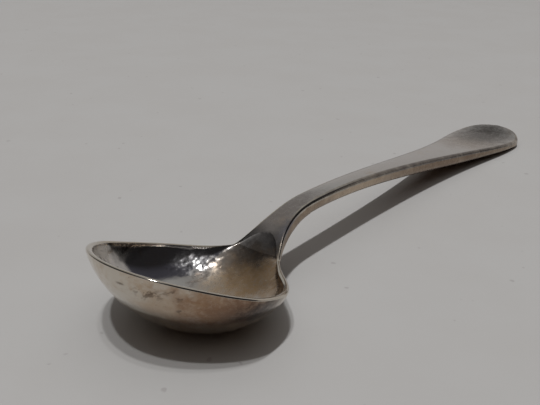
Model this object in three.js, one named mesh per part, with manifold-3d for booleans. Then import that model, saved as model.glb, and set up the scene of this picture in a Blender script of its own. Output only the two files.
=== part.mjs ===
// A silver salt spoon, lying on its bowl and the end of its handle.
// Three pieces: a bowl raised from sheet, a forged handle whose tongue (the drop) laps under the
// bowl's heel, and the hard solder between them.
// Millimetres, +Z up. The spoon lies along X with the bowl towards -X, and stands on Z = 0.
import * as THREE from "three";
import { mergeVertices } from "three/addons/utils/BufferGeometryUtils.js";
import Module from "manifold-3d";

const wasm = await Module();
wasm.setup();

// Driving dimensions. A size whose name ends in At is a distance along the spoon from the bowl's tip.
const overallLength = 70;

// Bowl
const bowlWidth = 14.2;
const bowlWidestAt = 6.2;
const bowlLowestAt = 8.25;
const bowlWall = 0.7;
const rimWidth = 0.42;
const rimDrop = 0.15; // how far the rim's outer edge lies below its ridge
const rimInnerDrop = 0.1;
const tipHeight = 7.42;
const rimDescent = -0.376; // slope of the rim where it leaves the tip
const heelAt = 14.85;
const heelHeight = 2.86; // the rim's lowest point, where the bowl runs out into the stem
const heelBlend = 2; // how far before the heel the bowl's section starts to turn into the stem's
const floorRun = 3.3; // how far the cup's floor keeps level towards the heel
const bowlWear = 0.14; // depth of the flat worn under the bowl

// Stem, from the bowl's shoulders to the terminal
const shoulderReach = 8.2; // how far the bowl keeps its width towards the stem
const neckReach = 9; // how far the stem keeps its width towards the bowl
const stemNarrowAt = 20.6;
const stemWidth = 1.98;
const crestAt = 22.4;
const crestHeight = 5.42;
const crookReach = 5.2; // how long the crook is on the bowl's side of the crest
const backReach = 11.5; // and on the terminal's side
const heelReach = 0.8;
const neckThickness = 1.25; // thicknesses are measured upright
const crookAt = 18.2; // where the stem rises most steeply
const crookThickness = 1.5;
const stemThickness = 1.2;
const shankAt = 50;
const shankThickness = 1.5;
const stemReach = 33.35; // how far the stem stays narrow towards the terminal
const heelEdge = 0.24; // width of the rounded edge where the rim runs into the stem
const heelEdgeAt = 14.55;
const neckEdge = 0.22;
const neckEdgeAt = 17.2;
const stemEdge = 0.36;
const stemEdgeAt = 27;
const stemEdgeDrop = 0.3; // how far that edge falls across its width
const squareAt = 17.6; // where the underside has turned from the bowl's section into the stem's
const neckBulge = 0.14; // how far the neck's sides stand out below its upper edge
const neckBulgeAt = 16.2;
const crown = 0.07; // how far the stem's face swells between its edges

// Terminal, rounded and hardly lifted at its end
const terminalWidth = 8;
const terminalWidestFromEnd = 4.5;
const terminalReach = 7.4; // how far the terminal keeps its width towards the stem
const terminalThickness = 1.1;
const terminalSlope = -0.07;
const endLift = 0.4;
const terminalWear = 0.06; // depth of the flat worn under the terminal

// Joint: a butt seam across the neck and the drop under the heel
const seamAt = 15.2;
const hollowRunOut = 1.45; // how far the cup's hollow runs on past the seam, into the stem's face
const hollowRoundFrom = 14.3; // where its sides start to close in towards its round end
const hollowLip = 0.24; // how much steeper the hollow is than the stem's face where it ends
const hollowRise = 2; // how long the hollow keeps that slope
const backRise = 2.3; // how long the bowl's back keeps the stem's slope
const dropLength = 2.9;
const dropThickness = 0.42;
const dropInset = 0.42; // how far the drop's sides lie inside the neck's
const dropFadeAt = 21;
const solderThickness = 0.1;
const solderMargin = 0.25; // width of the solder that shows round the drop
const fitClearance = 0.03; // keeps the facets of touching pieces apart

// Section shapes: a section's depth follows (1 - v^power)^fullness from its middle to its edge.
const bowlSection = { power: 2, fullness: 0.69 };
const cupSection = { power: 2, fullness: 0.62 };
const stemSection = { power: 4, fullness: 0.25 };
const crownSection = { power: 2, fullness: 1 };
const dropSection = { power: 2, fullness: 0.3 };
const hollowEndPower = 2.5; // above 2, the hollow's round end is squarer than an ellipse
const flankPower = 40; // the higher, the closer to the upper edge the neck's sides stand out

// Roundness of the curves, each as a share of the size that it bends along
const tipBluntness = 0.28;
const flankFullness = 0.63;
const endBluntness = 0.26;
const endFullness = 0.5;
const cupSteepness = 0.33; // how far the tip's wall falls before it turns in
const floorFullness = 0.53; // how far the floor keeps level towards the tip
const dropBluntness = 0.75;
const dropFullness = 0.6;
const rimRidge = 0.5; // where the rim's ridge lies across its width
const innerDropFrom = 0.7; // where the cup's inside starts to fall to the rim's inner edge
const dropRowSpread = 1.7; // above 1, the drop's rows lie closer at its round tip

// Mesh fineness
const stationsInBowl = 15;
const stationsInShoulder = 34;
const stationsInStem = 24;
const stationsInEnd = 11;
const stationsInDrop = 26;
const pointsAcrossDrop = 13;
const pointsUnder = 25;
const pointsOnEdge = 5;
const pointsOnFlat = 2; // between the edge and the cup's hollow
const pointsInHollow = 15;

const terminalAt = overallLength - terminalWidestFromEnd;
const solderGap = solderThickness + 2 * fitClearance;
const hollowEndAt = seamAt + hollowRunOut;
const dropHalfWidth = (at) => halfWidth(at) - dropInset;
const tipX = -overallLength / 2;
const floorHeight = bowlWall - bowlWear;
const beyond = 1; // how far a cutting block reaches past the metal
const hair = 1e-3; // a length too short to matter

const clamp01 = (value) => Math.min(1, Math.max(0, value));
const mix = (a, b, share) => a + (b - a) * share;

// 0 before "from", 1 after "to", and a smooth rise between them.
function fade(at, from, to) {
  const share = clamp01((at - from) / (to - from));
  return share * share * (3 - 2 * share);
}

// A cubic curve between two knots of the form [at, height, slope].
function spring([x0, z0, slope0], [x1, z1, slope1]) {
  const third = (x1 - x0) / 3;
  return new THREE.CubicBezierCurve(
    new THREE.Vector2(x0, z0),
    new THREE.Vector2(x0 + third, z0 + slope0 * third),
    new THREE.Vector2(x1 - third, z1 - slope1 * third),
    new THREE.Vector2(x1, z1),
  );
}

function bezier(...points) {
  return new THREE.CubicBezierCurve(...points.map(([x, y]) => new THREE.Vector2(x, y)));
}

// Reads a chain of curves that only runs forwards as a function of the distance along it.
function readAlong(curves) {
  const points = curves.flatMap((curve) => curve.getPoints(64));
  return (at) => {
    let next = 1;
    while (next < points.length - 1 && points[next].x < at) next += 1;
    const a = points[next - 1];
    const b = points[next];
    return mix(a.y, b.y, b.x > a.x ? clamp01((at - a.x) / (b.x - a.x)) : 1);
  };
}

const chain = (knots) => knots.slice(1).map((knot, i) => spring(knots[i], knot));

// Plan outline of the upper edge: distance along the spoon against half width.
const outline = [
  {
    stations: stationsInBowl,
    curve: bezier(
      [0, 0],
      [0, tipBluntness * bowlWidth],
      [flankFullness * bowlWidestAt, bowlWidth / 2],
      [bowlWidestAt, bowlWidth / 2],
    ),
  },
  {
    stations: stationsInShoulder,
    curve: bezier(
      [bowlWidestAt, bowlWidth / 2],
      [bowlWidestAt + shoulderReach, bowlWidth / 2],
      [stemNarrowAt - neckReach, stemWidth / 2],
      [stemNarrowAt, stemWidth / 2],
    ),
  },
  {
    stations: stationsInStem,
    curve: bezier(
      [stemNarrowAt, stemWidth / 2],
      [stemNarrowAt + stemReach, stemWidth / 2],
      [terminalAt - terminalReach, terminalWidth / 2],
      [terminalAt, terminalWidth / 2],
    ),
  },
  {
    stations: stationsInEnd,
    curve: bezier(
      [terminalAt, terminalWidth / 2],
      [terminalAt + endFullness * terminalWidestFromEnd, terminalWidth / 2],
      [overallLength, endBluntness * terminalWidth],
      [overallLength, 0],
    ),
  },
];
const halfWidth = readAlong(outline.map((stretch) => stretch.curve));

// Side profile of the upper edge, from the raised tip down to the heel, over the crest and down.
const terminalHeight = terminalThickness - terminalWear;
const descent = (terminalAt - crestAt) / 3;
const edgeHeight = readAlong([
  spring([0, tipHeight, rimDescent], [heelAt, heelHeight, 0]),
  bezier(
    [heelAt, heelHeight],
    [heelAt + heelReach, heelHeight],
    [crestAt - crookReach, crestHeight],
    [crestAt, crestHeight],
  ),
  bezier(
    [crestAt, crestHeight],
    [crestAt + backReach, crestHeight],
    [terminalAt - descent, terminalHeight - terminalSlope * descent],
    [terminalAt, terminalHeight],
  ),
  spring([terminalAt, terminalHeight, terminalSlope], [overallLength, terminalHeight + endLift, 0]),
]);

// Thickness at the middle of the section, behind the bowl's lowest point.
const thickness = readAlong(
  chain([
    [bowlLowestAt, bowlWall, 0],
    [seamAt, neckThickness, 0],
    [crookAt, crookThickness, 0],
    [crestAt, stemThickness, 0],
    [shankAt, shankThickness, 0],
    [terminalAt, terminalThickness, 0],
    [overallLength, terminalThickness, 0],
  ]),
);

// Width of the rim on the bowl, and of the rounded edge on the stem.
const edgeWidth = readAlong(
  chain([
    [0, rimWidth, 0],
    [heelAt - heelBlend, rimWidth, 0],
    [heelEdgeAt, heelEdge, 0],
    [neckEdgeAt, neckEdge, 0],
    [stemEdgeAt, stemEdge, 0],
    [overallLength, stemEdge, 0],
  ]),
);

// How far the outermost edge lies below the upper face.
const edgeDrop = readAlong(
  chain([
    [0, rimDrop, 0],
    [heelAt - heelBlend, rimDrop, 0],
    [stemEdgeAt, stemEdgeDrop, 0],
    [overallLength, stemEdgeDrop, 0],
  ]),
);

// How far the sides stand out below that edge, and the half width with that.
const flankBulge = readAlong(
  chain([
    [heelAt - heelBlend, 0, 0],
    [neckBulgeAt, neckBulge, 0],
    [stemNarrowAt, 0, 0],
    [overallLength, 0, 0],
  ]),
);
const flankHalf = (at) => halfWidth(at) + flankBulge(at);

// How far the rim's inner edge lies below its ridge, and where the ridge lies across the edge. The
// stem's edge is rounded on its outer side only.
const innerDrop = (at) => rimInnerDrop * (1 - fade(at, heelAt - heelBlend, seamAt));
const ridgeShare = (at) => mix(rimRidge, 1, fade(at, heelAt - heelBlend, neckEdgeAt));

// Middle line of the cup's inside, which ends in a lip on the stem's face, and of its back.
const faceSlope = (edgeHeight(hollowEndAt + hair) - edgeHeight(hollowEndAt - hair)) / (2 * hair);
const towardsTip = (wallAt, top, floor) =>
  bezier(
    [wallAt, top],
    [wallAt, mix(top, floor, cupSteepness)],
    [mix(bowlLowestAt, wallAt, floorFullness), floor],
    [bowlLowestAt, floor],
  );
const towardsStem = (floor, rise, slope, end) =>
  bezier(
    [bowlLowestAt, floor],
    [bowlLowestAt + floorRun, floor],
    [hollowEndAt - rise, end - rise * slope],
    [hollowEndAt, end],
  );
const cupFloor = readAlong([
  towardsTip(rimWidth, edgeHeight(rimWidth), floorHeight),
  towardsStem(floorHeight, hollowRise, faceSlope + hollowLip, edgeHeight(hollowEndAt)),
]);
const neckBack = edgeHeight(hollowEndAt) - thickness(hollowEndAt);
const cupBack = readAlong([
  towardsTip(0, tipHeight - rimDrop, -bowlWear),
  towardsStem(-bowlWear, backRise, faceSlope, neckBack),
]);

const undersideMiddle = (at) => (at < hollowEndAt ? cupBack(at) : edgeHeight(at) - thickness(at));
const outerEdgeHeight = (at) => edgeHeight(at) - edgeDrop(at);
const stemShare = (at) => fade(at, heelAt - heelBlend, squareAt);

// How deep a section is at the share v of its half width: 1 at its middle, 0 at its edge.
function depthShare(v, { power, fullness }) {
  return Math.pow(Math.max(0, 1 - Math.pow(Math.abs(v), power)), fullness);
}

// The underside's section, which turns from the bowl's into the stem's.
function underSection(at) {
  const share = stemShare(at);
  return {
    power: mix(bowlSection.power, stemSection.power, share),
    fullness: mix(bowlSection.fullness, stemSection.fullness, share),
  };
}

// Height of the underside at the share v of the half width.
function undersideHeight(at, v) {
  return mix(outerEdgeHeight(at), undersideMiddle(at), depthShare(v, underSection(at)));
}

// Half width of the cup's hollow. On the neck it closes in a round end, and past that end it opens
// again without depth, which keeps the facets of the stem's face even.
function hollowHalf(at, innerHalf) {
  const rounding = clamp01((at - hollowRoundFrom) / (hollowEndAt - hollowRoundFrom));
  const closing = Math.pow(1 - Math.pow(rounding, hollowEndPower), 1 / hollowEndPower);
  const opening = fade(at, hollowEndAt, stemNarrowAt) / 2;
  return Math.max(hair * hair, innerHalf * Math.max(closing, opening));
}

// Height of the upper face: the cup inside the bowl, a slight crown on the stem.
function upperHeight(at, y, innerHalf) {
  const across = y / Math.max(innerHalf, hair);
  const swell = crown * fade(at, hollowEndAt, crestAt) * depthShare(across, crownSection);
  const depth = at < hollowEndAt ? edgeHeight(at) - cupFloor(at) : 0;
  return edgeHeight(at) + swell - depth * depthShare(y / hollowHalf(at, innerHalf), cupSection);
}

// Places across the upper face, in order: along one flat, through the hollow, along the other.
function placesAcross(at, innerHalf) {
  const half = hollowHalf(at, innerHalf);
  const flat = Array.from({ length: pointsOnFlat }, (_, i) => mix(innerHalf, half, i / pointsOnFlat));
  const hollow = Array.from({ length: pointsInHollow }, (_, i) => {
    return -half * Math.cos((Math.PI * i) / (pointsInHollow - 1));
  });
  return [...flat.map((y) => -y), ...hollow, ...flat.reverse()];
}

// One section of the spoon, as a closed loop of points: the underside from left to right, then the
// edge, the upper face back again and the other edge.
function spoonLoop(curve, t) {
  const edge = curve.getPoint(t);
  const tangent = curve.getTangent(t);
  const inwards = new THREE.Vector2(tangent.y, -tangent.x);
  const onEdge = (share) => {
    const point = inwards.clone().multiplyScalar(edgeWidth(edge.x) * share).add(edge);
    return { at: point.x, half: Math.max(0, point.y) };
  };
  const inner = onEdge(1);
  const ridge = ridgeShare(edge.x);
  const rounded = Array.from({ length: pointsOnEdge }, (_, i) => {
    const angle = (Math.PI * (i + 1)) / (pointsOnEdge + 1);
    const isOuter = angle < Math.PI / 2;
    const across = isOuter ? ridge : 1 - ridge;
    const place = onEdge(ridge - across * Math.cos(angle));
    const drop = isOuter ? edgeDrop(edge.x) : innerDrop(edge.x);
    return [place.at, place.half, edgeHeight(place.at) - drop * (1 - Math.sin(angle))];
  });
  const under = Array.from({ length: pointsUnder }, (_, i) => {
    const v = Math.cos((Math.PI * i) / (pointsUnder - 1));
    const bulge = flankBulge(edge.x) * (1 - Math.pow(Math.abs(v), flankPower));
    return [edge.x, (edge.y + bulge) * v, undersideHeight(edge.x, v)];
  });
  const over = placesAcross(inner.at, inner.half).map((y) => {
    const v = inner.half > 0 ? Math.abs(y) / inner.half : 1;
    const sunk = innerDrop(edge.x) * fade(v, innerDropFrom, 1);
    return [inner.at, y, upperHeight(inner.at, y, inner.half) - sunk];
  });
  return [...under, ...rounded.map(([x, y, z]) => [x, -y, z]), ...over, ...rounded.reverse()];
}

// Skins a row of loops into one solid. A first or last loop that isn't flat on itself gets a cap.
function skin(loops, capped) {
  const count = loops[0].length;
  const triangles = [];
  for (let row = 0; row + 1 < loops.length; row += 1) {
    for (let i = 0; i < count; i += 1) {
      const a = row * count + i;
      const b = row * count + ((i + 1) % count);
      triangles.push([a, a + count, b], [b, a + count, b + count]);
    }
  }
  if (capped) {
    const last = (loops.length - 1) * count;
    for (let i = 1; i + 1 < count; i += 1) {
      triangles.push([0, i, i + 1], [last, last + i + 1, last + i]);
    }
  }
  const raw = new THREE.BufferGeometry();
  raw.setAttribute("position", new THREE.Float32BufferAttribute(loops.flat(2), 3));
  raw.setIndex(triangles.flat());
  raw.translate(tipX, 0, 0);
  return solidFrom(raw);
}

// Makes a manifold solid of a closed geometry, after welding its vertices.
function solidFrom(geometry) {
  const bare = geometry.clone();
  bare.deleteAttribute("normal");
  bare.deleteAttribute("uv");
  const welded = mergeVertices(bare, 1e-4);
  const triVerts = [];
  for (let i = 0; i < welded.index.count; i += 3) {
    const [a, b, c] = [0, 1, 2].map((k) => welded.index.array[i + k]);
    if (a !== b && b !== c && c !== a) triVerts.push(a, b, c);
  }
  return new wasm.Manifold(
    new wasm.Mesh({
      numProp: 3,
      vertProperties: welded.attributes.position.array,
      triVerts: new Uint32Array(triVerts),
    }),
  );
}

// A block between two places along the spoon, wider and taller than all of it.
function block(fromAt, toAt, zFrom, zTo) {
  const geometry = new THREE.BoxGeometry(toAt - fromAt, 2 * bowlWidth, zTo - zFrom);
  geometry.translate(tipX + (fromAt + toAt) / 2, 0, (zFrom + zTo) / 2);
  return solidFrom(geometry);
}

function makeSpoonBody() {
  const loops = outline.flatMap(({ stations, curve }, k) => {
    const first = k === 0 ? 0 : 1;
    const rows = Array.from({ length: stations + 1 - first }, (_, i) => (i + first) / stations);
    return rows.map((t) => spoonLoop(curve, t));
  });
  return skin(loops, false);
}

// One side of the drop's outline, grown by a margin, from its rounded tip to the seam.
function dropSide(margin) {
  const tipAt = seamAt - dropLength - margin;
  const half = dropHalfWidth(seamAt) + margin;
  return bezier(
    [tipAt, 0],
    [tipAt, dropBluntness * half],
    [seamAt - dropFullness * dropLength, half],
    [seamAt, half],
  );
}

// The drop: a low ridge that runs from under the stem to a rounded end on the bowl's back. Its upper
// side lies inside the metal, and past the seam it sinks into the stem.
function makeDrop() {
  const bite = bowlWall / 2;
  const sink = fitClearance;
  const tipAt = seamAt - dropLength;
  const side = readAlong([dropSide(0)]);
  const underAt = (at, y) => undersideHeight(at, Math.min(1, Math.abs(y) / flankHalf(at)));
  const loops = [];
  for (let row = 1; row <= stationsInDrop; row += 1) {
    const at = mix(tipAt, dropFadeAt, Math.pow(row / stationsInDrop, dropRowSpread));
    const half = at < seamAt ? side(at) : dropHalfWidth(at);
    const height = mix(dropThickness, -sink, fade(at, seamAt, dropFadeAt));
    const low = [];
    const high = [];
    for (let i = 0; i < pointsAcrossDrop; i += 1) {
      const v = -Math.cos((Math.PI * i) / (pointsAcrossDrop - 1));
      const z = underAt(at, v * half);
      high.push([at, v * half, z + bite]);
      low.unshift([at, v * half, z - height * depthShare(v, dropSection)]);
    }
    loops.push([...low, ...high]);
  }
  return skin(loops, true);
}

// The spoon up to the seam, grown by a gap past the seam and under its back.
function bowlGrownBy(gap) {
  const front = body.intersect(block(-beyond, seamAt + gap, -beyond, 2 * tipHeight));
  return front.add(front.translate([0, 0, -gap]));
}

// Where solder may lie: round the drop in plan, and right across the neck at the seam.
function makeSolderRoom() {
  const side = dropSide(solderMargin).getPoints(12);
  side.push(new THREE.Vector2(seamAt + solderGap, side.at(-1).y));
  const otherSide = side.slice(1).map(({ x, y }) => new THREE.Vector2(x, -y));
  const plan = new THREE.Shape([...side, ...otherSide.reverse()]);
  const prism = new THREE.ExtrudeGeometry(plan, { depth: tipHeight, bevelEnabled: false });
  prism.translate(tipX, 0, 0);
  return solidFrom(prism).add(block(seamAt, seamAt + solderGap, 0, tipHeight));
}

// Cuts between faces that lie on each other can leave crumbs. Only the largest body is the piece.
function withoutCrumbs(solid) {
  const parts = solid.decompose();
  return parts.reduce((a, b) => (b.volume() > a.volume() ? b : a));
}

function meshFrom(solid, name, material) {
  const { numProp, numVert, vertProperties, triVerts } = solid.getMesh();
  const positions = new Float32Array(numVert * 3);
  for (let i = 0; i < numVert; i += 1) {
    positions.set(vertProperties.subarray(i * numProp, i * numProp + 3), i * 3);
  }
  const geometry = new THREE.BufferGeometry();
  geometry.setAttribute("position", new THREE.BufferAttribute(positions, 3));
  geometry.setIndex(new THREE.BufferAttribute(triVerts, 1));
  geometry.computeVertexNormals();
  const mesh = new THREE.Mesh(geometry, material);
  mesh.name = name;
  return mesh;
}

const wornSilver = new THREE.MeshStandardMaterial({ color: 0xa79c8b, roughness: 0.28, metalness: 1 });
const forgedSilver = new THREE.MeshStandardMaterial({ color: 0x9f9486, roughness: 0.34, metalness: 1 });
const solderSilver = new THREE.MeshStandardMaterial({ color: 0xb9b1a2, roughness: 0.42, metalness: 1 });

const body = makeSpoonBody();
const table = block(-beyond, overallLength + beyond, -2 * beyond, 0);
const bowl = body.intersect(block(-beyond, seamAt, -beyond, 2 * tipHeight)).subtract(table);
const forged = body.subtract(block(-beyond, seamAt + solderGap, -beyond, 2 * tipHeight)).add(makeDrop());
const handle = forged.subtract(bowlGrownBy(solderGap)).subtract(table);
const solderRing = bowlGrownBy(solderGap - fitClearance).subtract(bowlGrownBy(fitClearance));
const solder = withoutCrumbs(solderRing.intersect(makeSolderRoom()));

const spoon = new THREE.Group();
spoon.name = "salt_spoon";
spoon.add(meshFrom(bowl, "bowl", wornSilver));
spoon.add(meshFrom(handle, "handle", forgedSilver));
spoon.add(meshFrom(solder, "solder_seam", solderSilver));

export default spoon;
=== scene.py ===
import math
from collections import namedtuple

import bmesh
import bpy
import numpy as np
from mathutils import Matrix, Vector


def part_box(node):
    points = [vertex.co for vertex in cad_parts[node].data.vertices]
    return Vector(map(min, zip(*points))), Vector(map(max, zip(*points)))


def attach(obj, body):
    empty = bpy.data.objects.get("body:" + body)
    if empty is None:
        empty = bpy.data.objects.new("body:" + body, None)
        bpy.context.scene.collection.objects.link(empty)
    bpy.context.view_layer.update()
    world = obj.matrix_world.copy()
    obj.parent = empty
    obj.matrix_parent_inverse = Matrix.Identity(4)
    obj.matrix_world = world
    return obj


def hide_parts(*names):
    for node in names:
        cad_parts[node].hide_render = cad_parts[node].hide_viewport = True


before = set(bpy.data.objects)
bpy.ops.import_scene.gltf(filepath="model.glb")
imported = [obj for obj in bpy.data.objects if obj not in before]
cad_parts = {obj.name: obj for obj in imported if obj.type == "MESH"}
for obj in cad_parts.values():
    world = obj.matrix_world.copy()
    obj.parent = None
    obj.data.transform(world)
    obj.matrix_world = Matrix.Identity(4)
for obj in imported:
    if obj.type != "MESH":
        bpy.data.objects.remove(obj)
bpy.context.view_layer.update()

# A silver salt spoon on a pale table. Sizes are in millimetres, and become metres when a mesh is made.
# A name that ends in _at is a distance along the spoon from the bowl's tip.
MM = 0.001
MICRON = 1e-6

# Sizes that come from the solids
bowl_low, bowl_high = (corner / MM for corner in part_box("bowl"))
handle_low, handle_high = (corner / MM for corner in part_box("handle"))
overall_length = handle_high.x - bowl_low.x
tip_x = bowl_low.x
bowl_width = bowl_high.y - bowl_low.y
terminal_width = handle_high.y - handle_low.y
seam_at = bowl_high.x - bowl_low.x

# Bowl
tip_height = 7.42
tip_bluntness = 0.28
tip_shoulder = 0.63
bowl_widest_at = 6.2
bowl_lowest_at = 8.25
bowl_wall = 0.7
bowl_wear = 0.14
bowl_power = 2.0
bowl_fullness = 0.69
hollow_fullness = 0.62
wall_steepness = 0.33
floor_spread = 0.53
floor_run = 3.3
rim_width = 0.42
rim_drop = 0.15
rim_inner_drop = 0.1
rim_inner_from = 0.7
rim_descent = -0.376
heel_at = 14.85
heel_height = 2.86
heel_blend = 2.0

# Stem
shoulder_reach = 8.2
neck_reach = 9.0
stem_narrow_at = 20.6
stem_width = 1.98
crest_at = 22.4
crest_height = 5.42
crook_reach = 5.2
back_reach = 11.5
heel_reach = 0.8
neck_thickness = 1.25
crook_at = 18.2
crook_thickness = 1.5
stem_thickness = 1.2
shank_at = 50.0
shank_thickness = 1.5
stem_reach = 33.35
stem_power = 4.0
stem_fullness = 0.25
heel_edge = 0.24
heel_edge_at = 14.55
neck_edge = 0.22
neck_edge_at = 17.2
stem_edge = 0.36
stem_edge_at = 27.0
stem_edge_drop = 0.3
square_at = 17.6
neck_bulge = 0.14
neck_bulge_at = 16.2
bulge_power = 40
crown = 0.07
crown_fade = 0.6

# Terminal
terminal_run = 4.5
terminal_at = overall_length - terminal_run
terminal_reach = 7.4
terminal_thickness = 1.1
terminal_slope = -0.07
terminal_wear = 0.06
end_shoulder = 0.5
end_bluntness = 0.26
end_lift = 0.4

# Joint
solder_gap = 0.16
solder_margin = 0.25
solder_thickness = 0.1
hollow_past_seam = 1.45
hollow_end_at = seam_at + hollow_past_seam
hollow_closing_at = 14.3
hollow_end_power = 2.5
hollow_lip = 0.24
hollow_rise = 2.0
back_rise = 2.3
drop_length = 2.9
drop_thickness = 0.42
drop_inset = 0.42
drop_fade_at = 21.0
drop_bluntness = 0.75
drop_shoulder = 0.6
drop_fullness = 0.3
drop_sink = 0.02
drop_bite = 0.1

# How finely the meshes are divided: the sections along each curve of the outline, then a section's
# points under the spoon, across the hollow, on the flat beside it and round the edge, then the drop
SECTIONS = (56, 170, 90, 36)
UNDER, OVER, FLAT, ROUND = 97, 89, 7, 11
DROP_ROWS, ACROSS_DROP = 40, 41
CURVE_SAMPLES = 400
drop_row_spread = 1.7
merge_distance = 0.0003
smooth_below = math.radians(35)
slope_step = 0.01
tiny = 1e-6


def mix(a, b, share):
    return a + (b - a) * share


def fade(at, start, end):
    """0 before start, 1 after end, and a smooth rise between them."""
    share = np.clip((np.asarray(at, float) - start) / (end - start), 0, 1)
    return share * share * (3 - 2 * share)


class Bezier:
    """A cubic curve in two dimensions."""

    def __init__(self, *points):
        self.points = np.array(points, float)

    def at(self, t):
        t = np.asarray(t, float)[:, None]
        a, b, c, d = self.points
        return (1 - t) ** 3 * a + 3 * (1 - t) ** 2 * t * b + 3 * (1 - t) * t * t * c + t**3 * d

    def tangent(self, t):
        t = np.asarray(t, float)[:, None]
        a, b, c, d = self.points
        along = (1 - t) ** 2 * (b - a) + 2 * (1 - t) * t * (c - b) + t * t * (d - c)
        return along / np.linalg.norm(along, axis=1, keepdims=True)


def spring(start, end):
    """A cubic curve between two knots of the form (at, height, slope)."""
    third = (end[0] - start[0]) / 3
    return Bezier(
        start[:2],
        (start[0] + third, start[1] + start[2] * third),
        (end[0] - third, end[1] - end[2] * third),
        end[:2],
    )


def read_along(*curves):
    """Reads a chain of curves that only runs forwards as a function of the distance along it."""
    points = np.vstack([curve.at(np.linspace(0, 1, CURVE_SAMPLES)) for curve in curves])
    return lambda at: np.interp(at, points[:, 0], points[:, 1])


def chain(*knots):
    """Reads a chain of curves through knots of the form (at, value). It is level at each knot."""
    level = [(*knot, 0) for knot in knots]
    return read_along(*[spring(a, b) for a, b in zip(level, level[1:])])


# The outline seen from above, from the tip along the +Y side to the end of the handle
outline = [
    Bezier(
        (0, 0),
        (0, tip_bluntness * bowl_width),
        (tip_shoulder * bowl_widest_at, bowl_width / 2),
        (bowl_widest_at, bowl_width / 2),
    ),
    Bezier(
        (bowl_widest_at, bowl_width / 2),
        (bowl_widest_at + shoulder_reach, bowl_width / 2),
        (stem_narrow_at - neck_reach, stem_width / 2),
        (stem_narrow_at, stem_width / 2),
    ),
    Bezier(
        (stem_narrow_at, stem_width / 2),
        (stem_narrow_at + stem_reach, stem_width / 2),
        (terminal_at - terminal_reach, terminal_width / 2),
        (terminal_at, terminal_width / 2),
    ),
    Bezier(
        (terminal_at, terminal_width / 2),
        (mix(terminal_at, overall_length, end_shoulder), terminal_width / 2),
        (overall_length, end_bluntness * terminal_width),
        (overall_length, 0),
    ),
]
half_width = read_along(*outline)

# The outline seen from the side, as the height of the ridge of the rim and the stem
terminal_height = terminal_thickness - terminal_wear
descent = (terminal_at - crest_at) / 3
edge_height = read_along(
    spring((0, tip_height, rim_descent), (heel_at, heel_height, 0)),
    Bezier(
        (heel_at, heel_height),
        (heel_at + heel_reach, heel_height),
        (crest_at - crook_reach, crest_height),
        (crest_at, crest_height),
    ),
    Bezier(
        (crest_at, crest_height),
        (crest_at + back_reach, crest_height),
        (terminal_at - descent, terminal_height - terminal_slope * descent),
        (terminal_at, terminal_height),
    ),
    spring(
        (terminal_at, terminal_height, terminal_slope),
        (overall_length, terminal_height + end_lift, 0),
    ),
)

rim_ends_at = heel_at - heel_blend
thickness = chain(
    (bowl_lowest_at, bowl_wall),
    (seam_at, neck_thickness),
    (crook_at, crook_thickness),
    (crest_at, stem_thickness),
    (shank_at, shank_thickness),
    (terminal_at, terminal_thickness),
    (overall_length, terminal_thickness),
)
edge_width = chain(
    (0, rim_width),
    (rim_ends_at, rim_width),
    (heel_edge_at, heel_edge),
    (neck_edge_at, neck_edge),
    (stem_edge_at, stem_edge),
    (overall_length, stem_edge),
)
edge_drop = chain(
    (0, rim_drop),
    (rim_ends_at, rim_drop),
    (stem_edge_at, stem_edge_drop),
    (overall_length, stem_edge_drop),
)
flank_bulge = chain(
    (rim_ends_at, 0),
    (neck_bulge_at, neck_bulge),
    (stem_narrow_at, 0),
    (overall_length, 0),
)


def inner_drop(at):
    """How far the inner side of the rim lies below its ridge."""
    return rim_inner_drop * (1 - fade(at, rim_ends_at, seam_at))


def ridge_share(at):
    """Where the ridge lies across the edge: in its middle on the rim, at its inner side on the stem."""
    return mix(0.5, 1, fade(at, rim_ends_at, neck_edge_at))


def floor_towards_tip(wall_at, top, floor):
    """The middle line of the cup from the tip's wall down to its lowest point."""
    return Bezier(
        (wall_at, top),
        (wall_at, mix(top, floor, wall_steepness)),
        (mix(bowl_lowest_at, wall_at, floor_spread), floor),
        (bowl_lowest_at, floor),
    )


def floor_towards_stem(floor, rise, slope, end):
    """The middle line of the cup from its lowest point up to the end of the hollow."""
    return Bezier(
        (bowl_lowest_at, floor),
        (bowl_lowest_at + floor_run, floor),
        (hollow_end_at - rise, end - rise * slope),
        (hollow_end_at, end),
    )


face_end = edge_height(hollow_end_at)
face_rise = edge_height(hollow_end_at + slope_step) - edge_height(hollow_end_at - slope_step)
face_slope = face_rise / (2 * slope_step)
floor_height = bowl_wall - bowl_wear
cup_floor = read_along(
    floor_towards_tip(rim_width, edge_height(rim_width), floor_height),
    floor_towards_stem(floor_height, hollow_rise, face_slope + hollow_lip, face_end),
)
cup_back = read_along(
    floor_towards_tip(0, tip_height - rim_drop, -bowl_wear),
    floor_towards_stem(-bowl_wear, back_rise, face_slope, face_end - thickness(hollow_end_at)),
)


def underside_middle(at):
    """The height of the underside along the spoon's middle."""
    return np.where(at < hollow_end_at, cup_back(at), edge_height(at) - thickness(at))


def depth_share(v, at):
    """How deep a section is at the share v of its half width: 1 at its middle, 0 at its edge."""
    stem = fade(at, rim_ends_at, square_at)
    power = mix(bowl_power, stem_power, stem)
    fullness = mix(bowl_fullness, stem_fullness, stem)
    return np.maximum(0, 1 - np.abs(v) ** power) ** fullness


def underside_height(at, y):
    top = edge_height(at) - edge_drop(at)
    v = np.minimum(1, np.abs(y) / half_width(at))
    return top - (top - underside_middle(at)) * depth_share(v, at)


def hollow_half(at, inner_half):
    """Half width of the hollow. On the neck it closes in a round end, and then opens without depth."""
    share = min(1, max(0, (at - hollow_closing_at) / (hollow_end_at - hollow_closing_at)))
    closing = (1 - share**hollow_end_power) ** (1 / hollow_end_power)
    opening = float(fade(at, hollow_end_at, stem_narrow_at)) / 2
    return max(tiny, inner_half * max(closing, opening))


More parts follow.
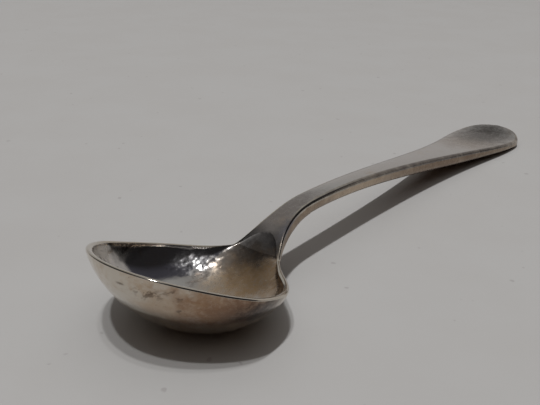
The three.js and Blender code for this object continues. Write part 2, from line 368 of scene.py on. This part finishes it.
def upper_height(at, y, inner_half):
    """The upper face: the cup inside the bowl, a slight crown on the stem."""
    swell = crown * fade(at, hollow_end_at, crest_at) * fade(inner_half, 0, crown_fade)
    swell = swell * (1 - (y / max(inner_half, tiny)) ** 2)
    depth = edge_height(at) - cup_floor(at) if at < hollow_end_at else 0
    w = np.minimum(1, np.abs(y) / hollow_half(at, inner_half))
    return edge_height(at) + swell - depth * (1 - w * w) ** hollow_fullness


def underside_points(at, half):
    """The underside of a section, from the +Y side to the -Y side."""
    turn = np.linspace(0, math.pi, UNDER)
    y = half * np.cos(turn)
    if half > tiny:
        low = underside_height(at, y)
    else:
        low = mix(edge_height(at) - edge_drop(at), underside_middle(at), np.sin(turn) ** 2)
    y = y * (1 + flank_bulge(at) * (1 - np.abs(np.cos(turn)) ** bulge_power) / max(half, tiny))
    return [(at, y[i], low[i]) for i in range(UNDER)]


def edge_points(at, half, inwards):
    """The rounded edge on the +Y side, from the underside to the upper face."""
    ridge = float(ridge_share(at))
    points = []
    for angle in np.linspace(0, math.pi, ROUND + 2)[1:-1]:
        is_outer = angle < math.pi / 2
        across = ridge if is_outer else 1 - ridge
        place = np.array([at, half]) + inwards * (ridge - across * math.cos(angle))
        drop = edge_drop(at) if is_outer else inner_drop(at)
        z = float(edge_height(place[0]) - drop * (1 - math.sin(angle)))
        points.append((place[0], max(0.0, place[1]), z))
    return points


def upper_points(at, inner_half, drop):
    """The upper face of a section, from the -Y side to the +Y side, with a drop towards the edge."""
    hollow = hollow_half(at, inner_half)
    flat = np.linspace(inner_half, hollow, FLAT, endpoint=False)
    round_part = -hollow * np.cos(np.linspace(0, math.pi, OVER))
    y = np.concatenate((-flat, round_part, flat[::-1]))
    z = upper_height(at, y, inner_half)
    z = z - drop * fade(np.abs(y) / max(inner_half, tiny), rim_inner_from, 1)
    return [(at, y[i], z[i]) for i in range(len(y))]


def spoon_row(curve, t):
    """One closed section of the spoon: the underside, the edge, the upper face and the edge again."""
    at, half = curve.at([t])[0]
    along = curve.tangent([t])[0]
    inwards = np.array([along[1], -along[0]]) * float(edge_width(at))
    inner_at, inner_half = np.array([at, half]) + inwards
    edge = edge_points(at, half, inwards)
    upper = upper_points(inner_at, max(0.0, inner_half), inner_drop(at))
    # A section without width, at either end of the spoon, has its upper points at one height
    if half <= tiny:
        upper = [(x, y, upper[0][2]) for x, y, z in upper]
    return underside_points(at, half) + [(x, -y, z) for x, y, z in edge] + upper + edge[::-1]


def zone_of(i):
    """Whether the face after the i-th point of a section is outside (0), edge (1) or inside (2)."""
    if i < UNDER - 1:
        return 0
    first = UNDER + ROUND
    return 2 if first <= i < first + OVER + 2 * FLAT - 1 else 1


def skin(rows, zone=lambda i: 0, capped=False):
    """A closed shape over a list of closed sections."""
    count = len(rows[0])
    made = bmesh.new()
    corners = [[made.verts.new((tip_x + x, y, z)) for x, y, z in row] for row in rows]
    for here, there in zip(corners, corners[1:]):
        for i in range(count):
            j = (i + 1) % count
            made.faces.new((here[i], there[i], there[j], here[j])).material_index = zone(i)
    if capped:
        made.faces.new(corners[0])
        made.faces.new(corners[-1][::-1])
    bmesh.ops.remove_doubles(made, verts=made.verts, dist=merge_distance)
    bmesh.ops.dissolve_degenerate(made, edges=made.edges, dist=tiny)
    bmesh.ops.recalc_face_normals(made, faces=made.faces)
    return made


def cut(shape, place, away):
    """Cuts off what lies past a plane, and closes the cut."""
    geometry = shape.verts[:] + shape.edges[:] + shape.faces[:]
    done = bmesh.ops.bisect_plane(
        shape, geom=geometry, dist=tiny, plane_co=place, plane_no=away, clear_outer=True
    )
    rim = [part for part in done["geom_cut"] if isinstance(part, bmesh.types.BMEdge)]
    if rim:
        bmesh.ops.contextual_create(shape, geom=rim)
    return shape


def drop_half_width(at):
    return half_width(at) - drop_inset


def drop_shape(margin, proud, end_at):
    """The drop grown by a margin. Its upper side is inside the metal. Past the seam it sinks in whole."""
    tip_at = seam_at - drop_length - margin
    end_half = drop_half_width(seam_at) + margin
    side = read_along(
        Bezier(
            (tip_at, 0),
            (tip_at, drop_bluntness * end_half),
            (seam_at - drop_shoulder * drop_length, end_half),
            (seam_at, end_half),
        )
    )
    rows = []
    v = -np.cos(np.linspace(0, math.pi, ACROSS_DROP))
    for i in range(1, DROP_ROWS + 1):
        at = mix(tip_at, end_at, (i / DROP_ROWS) ** drop_row_spread)
        half = side(at) if at < seam_at else drop_half_width(at) + margin
        y = v * half
        top = underside_height(at, y)
        depth = mix(proud, -drop_sink, fade(at, seam_at, drop_fade_at))
        low = top - depth * (1 - v * v) ** drop_fullness
        under = [(at, y[k], low[k]) for k in range(len(v))]
        rows.append(under[::-1] + [(at, y[k], top[k] + drop_bite) for k in range(len(v))])
    return skin(rows, capped=True)


def joined(shape, other):
    """Adds another shape's faces to a shape."""
    spare = bpy.data.meshes.new("spare")
    other.to_mesh(spare)
    other.free()
    shape.from_mesh(spare)
    bpy.data.meshes.remove(spare)
    return shape


def piece_from(shape, name):
    """Makes an object in metres from a shape in millimetres."""
    mesh = bpy.data.meshes.new(name)
    shape.to_mesh(mesh)
    shape.free()
    mesh.transform(Matrix.Scale(MM, 4))
    mesh.shade_smooth()
    mesh.set_sharp_from_angle(angle=smooth_below)
    piece = bpy.data.objects.new(name, mesh)
    bpy.context.scene.collection.objects.link(piece)
    return piece


def spoon_body():
    rows = [spoon_row(outline[0], 0)]
    for curve, count in zip(outline, SECTIONS):
        rows += [spoon_row(curve, i / count) for i in range(1, count + 1)]
    return skin(rows, zone_of)


FORWARDS, BACKWARDS, DOWN = (1, 0, 0), (-1, 0, 0), (0, 0, -1)
on_table = (0, 0, 0)
bowl_end = (tip_x + seam_at, 0, 0)
handle_start = (tip_x + seam_at + solder_gap, 0, 0)
body = spoon_body()
bowl = cut(cut(body.copy(), bowl_end, FORWARDS), on_table, DOWN)
handle = cut(cut(body.copy(), handle_start, BACKWARDS), on_table, DOWN)
seam = cut(cut(body.copy(), handle_start, FORWARDS), bowl_end, BACKWARDS)
body.free()
drop = drop_shape(0, drop_thickness, drop_fade_at)
fillet = drop_shape(solder_margin, solder_thickness, seam_at + solder_gap)
bowl = piece_from(bowl, "spoon_bowl")
handle = piece_from(joined(handle, drop), "spoon_handle")
seam = piece_from(joined(seam, fillet), "solder_line")


class Nodes:
    """Adds nodes to a tree. An input is a number, a colour or another node's output."""

    def __init__(self, tree):
        self.tree = tree

    def add(self, kind, inputs=(), **settings):
        made = self.tree.nodes.new("ShaderNode" + kind)
        for key, value in settings.items():
            setattr(made, key, value)
        for key, value in dict(inputs).items():
            self.set(made.inputs[key], value)
        return made

    def set(self, socket, value):
        if isinstance(value, bpy.types.NodeSocket):
            self.tree.links.new(value, socket)
        elif isinstance(value, tuple) and socket.type == "RGBA":
            socket.default_value = (*value, 1)
        else:
            socket.default_value = value

    def math(self, operation, a, b=0.0, c=0.0):
        return self.add("Math", {0: a, 1: b, 2: c}, operation=operation).outputs[0]

    def times(self, a, b):
        return self.math("MULTIPLY", a, b)

    def vector(self, operation, a, b=(0, 0, 0)):
        return self.add("VectorMath", {0: a, 1: b}, operation=operation).outputs[0]

    def dot(self, a, b):
        return self.add("VectorMath", {0: a, 1: b}, operation="DOT_PRODUCT").outputs["Value"]

    def rise(self, value, start, end, low=0.0, high=1.0):
        """low before start, high after end, and a smooth rise between them."""
        inputs = {"Value": value, "From Min": start, "From Max": end, "To Min": low, "To Max": high}
        return self.add("MapRange", inputs, interpolation_type="SMOOTHSTEP").outputs[0]

    def blend(self, share, a, b):
        return self.add("Mix", {0: share, 6: a, 7: b}, data_type="RGBA").outputs[2]

    def texture(self, place, scale, detail, roughness=0.5):
        """A noise's two outputs: a number and a vector."""
        inputs = {"Vector": place, "Scale": scale, "Detail": detail, "Roughness": roughness}
        return self.add("TexNoise", inputs).outputs

    def noise(self, place, scale, detail, roughness=0.5):
        return self.texture(place, scale, detail, roughness)[0]

    def millimetres(self):
        """The place on an object, in millimetres."""
        return self.vector("MULTIPLY", self.add("TexCoord").outputs["Object"], (1 / MM,) * 3)

    def spot(self, place, centre, radius, soft):
        """1 at a centre and 0 beyond a radius, which may differ along X, Y and Z."""
        offset = self.vector("DIVIDE", self.vector("SUBTRACT", place, centre), radius)
        far = self.add("VectorMath", {0: offset}, operation="LENGTH").outputs["Value"]
        return self.rise(far, 1.0, 1.0 - soft)


# Marks are real stains and painted shade. A broken stain only leaves streaks. Places and radii are in
# millimetres, the depth of dents in microns.
StainOrShade = namedtuple("StainOrShade", "centre radius colour strength is_broken", defaults=(1.0, False))
Dents = namedtuple("Dents", "centre radius depth")

# Noise, as its scale, detail and roughness, and the value that it varies round
CLOUD = (0.33, 5)
MOTTLE = (1.9, 6, 0.65)
WANDER = (0.9, 5, 0.6)
STREAKS = (1.2, 5, 0.62)
GRAIN = (3.4, 5, 0.7)
SPECKS = (5.5, 2, 0.4)
SCRATCHES = (2.2, 3, 0.6)
PITS = (9.0, 3)
HOLLOWS = (0.8, 2)
TABLE_CLOUD = (0.08, 4, 0.6)
TABLE_SPECKS = (0.9, 1, 0.3)
MIDDLE = 0.5

# Metal. A range is the value of a noise at which a mark starts and the one at which it is full.
cloud_share = 0.6
stain_and_shade_wander = 1.4
stain_and_shade_softness = 0.8
streak_range = (0.50, 0.57)
streak_across = (0.3, 0.6, 0.75)
streak_along = (0.3, -0.7, 0.65)
streak_narrowing = 2.6
grain_range = (0.36, 0.56)
grain_least = 0.76
speck_range = (0.68, 0.76)
speck_colour = (0.10, 0.075, 0.06)
speck_strength = 0.4
scratch_stretch = (0.35, 1.3, 7.0)
pit_height = 0.6
uneven_roughness = 0.1
brushed_along = {"X": 1.0, "Y": -0.1, "Z": 0.3}


def stained_and_shaded(nodes, place, stains_and_shade, colour, dull):
    """Lays stains and painted shade over a colour. Returns the colour and how dull the metal is with
    them.
    """
    wander = nodes.vector("SUBTRACT", nodes.texture(place, *WANDER)[1], (MIDDLE,) * 3)
    across = nodes.times(nodes.dot(place, streak_across), streak_narrowing)
    slanted = nodes.add("CombineXYZ", {"X": across, "Y": nodes.dot(place, streak_along)}).outputs[0]
    streaks = nodes.rise(nodes.noise(slanted, *STREAKS), *streak_range)
    grainy = nodes.rise(nodes.noise(place, *GRAIN), *grain_range, low=grain_least)
    for stain_or_shade in stains_and_shade:
        reach = (stain_and_shade_wander * min(stain_or_shade.radius),) * 3
        strayed = nodes.vector("ADD", place, nodes.vector("MULTIPLY", wander, reach))
        spot = nodes.spot(strayed, stain_or_shade.centre, stain_or_shade.radius, stain_and_shade_softness)
        spot = nodes.times(nodes.times(spot, stain_or_shade.strength), streaks if stain_or_shade.is_broken else grainy)
        colour = nodes.blend(spot, colour, stain_or_shade.colour)
        dull = nodes.math("MAXIMUM", dull, spot)
    return colour, dull


def relief(nodes, place, grain, dents):
    """Scratches along the spoon, pits and, where there are any, shallow dents, as a normal."""
    scratches = nodes.noise(nodes.vector("MULTIPLY", place, scratch_stretch), *SCRATCHES)
    pits = nodes.times(nodes.noise(place, *PITS), pit_height)
    height = nodes.times(nodes.math("ADD", scratches, pits), grain)
    if dents:
        inside = nodes.spot(place, dents.centre, dents.radius, soft=1.0)
        hollows = nodes.times(nodes.noise(place, *HOLLOWS), inside)
        height = nodes.math("MULTIPLY_ADD", hollows, dents.depth, height)
    return nodes.add("Bump", {"Height": height, "Distance": MICRON, "Strength": 1.0}).outputs[0]


def silver(name, clean, tarnished, cover, roughness, grain, stains_and_shade, brushed=0.0, dents=None):
    """Worn silver: clean metal under patchy tarnish, placed stains and painted shade, and fine pits and
    scratches.

    cover is the range of the tarnish, roughness is that of clean and of tarnished metal, and grain
    is the height of the scratches in microns.
    """
    made = bpy.data.materials.new(name)
    made.use_nodes = True
    nodes = Nodes(made.node_tree)
    shader = made.node_tree.nodes["Principled BSDF"]
    shader.inputs["Metallic"].default_value = 1
    place = nodes.millimetres()
    mottle = nodes.noise(place, *MOTTLE)
    cloud = nodes.times(nodes.noise(place, *CLOUD), cloud_share)
    patchy = nodes.math("ADD", cloud, nodes.times(mottle, 1 - cloud_share))
    dull = nodes.rise(patchy, *cover)
    colour, dull = stained_and_shaded(nodes, place, stains_and_shade, nodes.blend(dull, clean, tarnished), dull)
    speck = nodes.rise(nodes.noise(place, *SPECKS), *speck_range)
    colour = nodes.blend(nodes.times(speck, speck_strength), colour, speck_colour)
    nodes.set(shader.inputs["Base Color"], colour)
    uneven = nodes.times(nodes.math("SUBTRACT", mottle, MIDDLE), uneven_roughness)
    rough = nodes.math("ADD", nodes.rise(dull, 0.0, 1.0, *roughness), uneven)
    nodes.set(shader.inputs["Roughness"], rough)
    if brushed:
        shader.inputs["Anisotropic"].default_value = brushed
        nodes.set(shader.inputs["Tangent"], nodes.add("CombineXYZ", brushed_along).outputs[0])
    nodes.set(shader.inputs["Normal"], relief(nodes, place, grain, dents))
    return made


pale = (0.66, 0.61, 0.53)
grey = (0.60, 0.585, 0.57)
cream = (0.94, 0.90, 0.84)
tan = (0.55, 0.44, 0.33)
golden = (0.52, 0.36, 0.21)
brown = (0.40, 0.27, 0.17)
rust = (0.33, 0.195, 0.115)
umber = (0.13, 0.09, 0.065)
slate = (0.22, 0.22, 0.245)
# The colour of painted dark reflections
painted_dark_reflection = (0.055, 0.048, 0.045)

stains_and_shade_outside = (
    StainOrShade((-31.6, -4.8, 4.6), (5.0, 4.8, 3.8), rust, 0.95),
    StainOrShade((-30.2, -6.2, 4.4), (3.4, 2.4, 2.2), (0.22, 0.13, 0.085), 0.9),
    # A near-black patch on the bowl's near side: painted reflection of the shadowed table.
    StainOrShade((-28.8, -7.0, 3.7), (3.8, 2.2, 1.9), (0.055, 0.036, 0.027)),
    StainOrShade((-33.8, -2.6, 4.6), (2.2, 2.8, 2.2), tan, 0.8),
    StainOrShade((-34.3, -2.2, 5.9), (1.3, 1.5, 0.8), umber, 0.8, is_broken=True),
    StainOrShade((-33.5, -3.8, 6.0), (1.4, 1.5, 0.7), umber, 0.65, is_broken=True),
    StainOrShade((-32.2, -5.2, 5.6), (1.6, 1.6, 0.6), brown, 0.6, is_broken=True),
    StainOrShade((-34.8, -0.4, 6.3), (0.3, 0.45, 0.16), umber, 0.8),
    StainOrShade((-32.8, -3.8, 4.6), (0.6, 0.6, 0.35), umber, 0.9, is_broken=True),
)
# These run from the hollow onto the face of the neck. The last is a painted dark reflection.
stains_and_shade_heel = (
    StainOrShade((-21.8, -1.6, 1.6), (5.2, 5.2, 3.4), golden),
    StainOrShade((-20.7, 0.6, 2.2), (2.8, 2.5, 2.2), (0.12, 0.085, 0.06), 0.6),
    StainOrShade((-22.4, -4.8, 2.8), (3.2, 2.4, 2.4), golden, 0.9),
    # Painted dark reflection over the heel and the face of the neck.
    StainOrShade((-19.0, 1.2, 3.2), (3.4, 4.2, 2.5), painted_dark_reflection, 0.75),
)
stains_and_shade_inside = (
    StainOrShade((-23.2, 0.6, 1.2), (3.2, 3.2, 1.8), (0.64, 0.54, 0.43), 0.9),
    *stains_and_shade_heel,
    StainOrShade((-23.3, 3.8, 2.4), (3.0, 2.9, 2.4), (0.74, 0.73, 0.74), 0.5),
    StainOrShade((-24.0, 2.6, 1.3), (1.4, 0.9, 0.8), umber, 0.9, is_broken=True),
    StainOrShade((-31.4, 5.0, 5.6), (2.2, 3.4, 2.4), cream),
    StainOrShade((-30.4, 5.9, 5.1), (2.2, 2.4, 1.9), (0.82, 0.77, 0.71)),
    # A near-black band below the far rim: painted dark reflection.
    StainOrShade((-26.6, 6.6, 4.2), (4.4, 1.5, 1.4), (0.03, 0.027, 0.027)),
    StainOrShade((-30.6, 5.2, 4.8), (1.6, 1.6, 1.0), umber, 0.5, is_broken=True),
)
# A filed strip at the neck's edge, painted dark slate: a painted dark, bluish reflection.
filed_strip_painted_dark = StainOrShade((-17.3, -1.2, 4.0), (2.6, 1.0, 2.2), slate)
stains_and_shade_face = (
    *stains_and_shade_heel,
    StainOrShade((-14.8, 0.3, 5.1), (6.4, 3.4, 3.0), (0.32, 0.29, 0.275)),
    filed_strip_painted_dark,
    StainOrShade((24.0, 0.0, 1.5), (9.0, 5.0, 2.5), (0.40, 0.34, 0.29), 0.9),
    # Darker over the terminal.
    StainOrShade((30.0, 0.2, 1.3), (9.0, 5.4, 3.0), (0.05, 0.04, 0.035)),
)
# Painted dark reflection on the far rim by the neck, over its highlight.
far_rim_dark_reflection = StainOrShade((-19.8, 2.6, 3.1), (2.6, 1.8, 1.8), painted_dark_reflection, 0.9)
# The handle's whole edge is painted darker: a painted dark line, where the rounded edge reflects the dark
# room.
edge_dark_line = StainOrShade((16.0, 0.0, 2.5), (46.0, 12.0, 12.0), (0.15, 0.13, 0.12))
painted_edge_shade = (filed_strip_painted_dark, edge_dark_line, far_rim_dark_reflection)
# The handle's side is darker and browner all along, most towards the terminal and low down.
side_darkening = (
    StainOrShade((14.0, 0.0, 2.5), (25.0, 9.0, 7.0), (0.22, 0.15, 0.10)),
    StainOrShade((31.0, 0.0, 1.0), (17.0, 7.0, 4.0), (0.09, 0.058, 0.038)),
    StainOrShade((-14.0, 0.0, 4.5), (8.0, 4.0, 4.0), (0.28, 0.21, 0.155), 0.9),
    StainOrShade((-18.0, 0.0, 3.5), (3.4, 4.0, 3.0), (0.22, 0.16, 0.12)),
)
bowl_dents = Dents((-23.2, 3.8, 2.4), (3.0, 3.0, 2.5), 185.0)
side_metal = (0.50, 0.42, 0.33)

# The materials of each piece's outside, edge and inside, as zone_of counts them
bowl_silver = (
    silver("bowl_outside", pale, tan, (0.42, 0.62), (0.12, 0.24), 2.5, stains_and_shade_outside),
    silver("bowl_rim", pale, tan, (0.5, 0.7), (0.08, 0.16), 1.0, (far_rim_dark_reflection,)),
    silver("bowl_inside", grey, tan, (0.52, 0.72), (0.06, 0.32), 1.6, stains_and_shade_inside, 0.6, bowl_dents),
)
handle_silver = (
    silver("handle_side", side_metal, tan, (0.36, 0.56), (0.16, 0.28), 3.0, side_darkening),
    silver("handle_edge", pale, tan, (0.5, 0.7), (0.12, 0.2), 1.5, painted_edge_shade),
    silver("handle_face", grey, tan, (0.5, 0.75), (0.2, 0.28), 2.5, stains_and_shade_face),
)
for piece, node, slot, materials in (
    (bowl, "bowl", "bowl_silver", bowl_silver),
    (handle, "handle", "handle_silver", handle_silver),
    (seam, "solder_seam", "solder_silver", handle_silver),
):
    for material in materials:
        piece.data.materials.append(material)
    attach(piece, "root")
    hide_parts(node)

# Camera: where the photograph was taken from
camera_place = Vector((-63.55, -31.74, 28.76)) * MM
camera_heading = math.radians(35.035)
camera_down = math.radians(21.893)
camera_roll = math.radians(1.952)
focal_length = 50.2
sensor_width = 36


def make_camera():
    data = bpy.data.cameras.new("camera")
    data.sensor_width = sensor_width
    data.lens = focal_length
    data.clip_start = 0.001
    data.clip_end = 10
    camera = bpy.data.objects.new("camera", data)
    bpy.context.scene.collection.objects.link(camera)
    ahead = Vector(
        (
            math.cos(camera_heading) * math.cos(camera_down),
            math.sin(camera_heading) * math.cos(camera_down),
            -math.sin(camera_down),
        )
    )
    right = ahead.cross(Vector((0, 0, 1))).normalized()
    up = right.cross(ahead)
    right, up = (
        right * math.cos(camera_roll) + up * math.sin(camera_roll),
        up * math.cos(camera_roll) - right * math.sin(camera_roll),
    )
    turned = Matrix((right, up, -ahead)).transposed()
    camera.matrix_world = Matrix.Translation(camera_place) @ turned.to_4x4()
    bpy.context.scene.camera = camera


make_camera()

# Table. Its half size is in metres, and past_edge is a range of Y in millimetres.
table_half = 1.6
table_colour = (0.385, 0.383, 0.38)
table_cloud_colour = (0.372, 0.366, 0.36)
table_cloud_range = (0.35, 0.65)
table_cloud_strength = 0.5
table_speck_colour = (0.2, 0.19, 0.18)
table_speck_range = (0.76, 0.8)
table_speck_strength = 0.35
table_roughness = 0.9
table_gloss = 0.1
past_edge = (-29.0, -35.0)
past_edge_colour = (0.03, 0.028, 0.028)


def make_floor():
    mesh = bpy.data.meshes.new("table")
    corners = [(x * table_half, y * table_half, 0) for x, y in ((-1, -1), (1, -1), (1, 1), (-1, 1))]
    mesh.from_pydata(corners, [], [(0, 1, 2, 3)])
    floor = bpy.data.objects.new("table", mesh)
    bpy.context.scene.collection.objects.link(floor)
    made = bpy.data.materials.new("table")
    made.use_nodes = True
    nodes = Nodes(made.node_tree)
    shader = made.node_tree.nodes["Principled BSDF"]
    place = nodes.millimetres()
    cloud = nodes.rise(nodes.noise(place, *TABLE_CLOUD), *table_cloud_range)
    colour = nodes.blend(nodes.times(cloud, table_cloud_strength), table_colour, table_cloud_colour)
    speck = nodes.rise(nodes.noise(place, *TABLE_SPECKS), *table_speck_range)
    colour = nodes.blend(nodes.times(speck, table_speck_strength), colour, table_speck_colour)
    # The silver reflects the dark beyond the real table's edge, which the camera doesn't see
    beyond = nodes.rise(nodes.add("SeparateXYZ", {0: place}).outputs[1], *past_edge)
    beyond = nodes.times(beyond, nodes.add("LightPath").outputs["Is Glossy Ray"])
    nodes.set(shader.inputs["Base Color"], nodes.blend(beyond, colour, past_edge_colour))
    shader.inputs["Roughness"].default_value = table_roughness
    shader.inputs["Specular IOR Level"].default_value = table_gloss
    mesh.materials.append(made)


make_floor()

# Three small ceiling lamps, in the directions that the shadow's steps give. Sizes are in metres.
lamp_distance = 2.4
lamp_size = 0.088
lamps = (
    ("lamp_a", (-0.358, -0.060, 1), 18.2),
    ("lamp_b", (-0.218, -0.050, 1), 16.4),
    ("lamp_c", (-0.142, -0.043, 1), 6.2),
)


def make_lamp(name, towards, power):
    data = bpy.data.lights.new(name, "AREA")
    data.shape = "DISK"
    data.size = lamp_size
    data.energy = power
    lamp = bpy.data.objects.new(name, data)
    direction = Vector(towards).normalized()
    lamp.location = direction * lamp_distance
    lamp.rotation_mode = "QUATERNION"
    lamp.rotation_quaternion = direction.to_track_quat("Z", "Y")
    bpy.context.scene.collection.objects.link(lamp)


for lamp_settings in lamps:
    make_lamp(*lamp_settings)

# Room. A range is where a part of it starts and is full, along X, Y or Z of a ray's direction.
pale_beside = (0.215, 0.205, 0.195)
pale_ahead = (0.35, 0.345, 0.335)
pale_x_range = (0.0, 0.6)
lit_y_range = (-0.1, 0.02)
overhead_z_range = (0.885, 0.915)
dark_colour = (0.019, 0.018, 0.019)
bluish_colour = (0.055, 0.054, 0.066)
bluish_from_y = (-0.34, -0.1)
bluish_until_y = (0.1, -0.02)
limit_slope, limit_offset = 1.1, -0.615
limit_least, limit_most = -0.12, 0.22
limit_range = (-0.05, 0.05)
wall_colour = (0.38, 0.36, 0.345)
wall_curve, wall_height = -0.9, 0.45
wall_z_range = (0.03, -0.03)
wall_x_range = (0.3, 0.5)
wall_y_range = (-0.6, -0.45)
ambient_low = (0.035, 0.018, 0.011)
ambient_high = (0.70, 0.675, 0.65)
ambient_z_range = (0.5, 0.97)


def make_room():
    """A pale room ahead and overhead, dark to the right and behind. Only gloss sees its shape."""
    world = bpy.data.worlds.new("room")
    bpy.context.scene.world = world
    world.use_nodes = True
    tree = world.node_tree
    nodes = Nodes(tree)
    direction = nodes.add("TexCoord").outputs["Generated"]
    x, y, z = nodes.add("SeparateXYZ", {0: direction}).outputs
    # The dark behind the camera ends along x = limit, which lies further ahead towards +Y
    limit = nodes.math("MULTIPLY_ADD", y, limit_slope, limit_offset)
    limit = nodes.math("MINIMUM", nodes.math("MAXIMUM", limit, limit_least), limit_most)
    in_front = nodes.rise(nodes.math("SUBTRACT", x, limit), *limit_range)
    overhead = nodes.rise(z, *overhead_z_range)
    lit = nodes.times(nodes.math("MAXIMUM", in_front, overhead), nodes.rise(y, *lit_y_range))
    pale_room = nodes.blend(nodes.rise(x, *pale_x_range), pale_beside, pale_ahead)
    bluish = nodes.times(nodes.rise(y, *bluish_from_y), nodes.rise(y, *bluish_until_y))
    dark_room = nodes.blend(bluish, dark_colour, bluish_colour)
    # A pale wall that stands up from the horizon ahead
    wall_top = nodes.math("MULTIPLY_ADD", nodes.times(y, y), wall_curve, wall_height)
    wall = nodes.rise(nodes.math("SUBTRACT", z, wall_top), *wall_z_range)
    wall = nodes.times(nodes.times(wall, nodes.rise(x, *wall_x_range)), nodes.rise(y, *wall_y_range))
    room = nodes.blend(wall, nodes.blend(lit, dark_room, pale_room), wall_colour)
    sees = nodes.add("LightPath").outputs
    ambient = nodes.blend(nodes.rise(z, *ambient_z_range), ambient_low, ambient_high)
    colour = nodes.blend(sees["Is Glossy Ray"], ambient, room)
    colour = nodes.blend(sees["Is Camera Ray"], colour, table_colour)
    nodes.set(tree.nodes["Background"].inputs["Color"], colour)


make_room()
bpy.context.scene.view_settings.view_transform = "Standard"
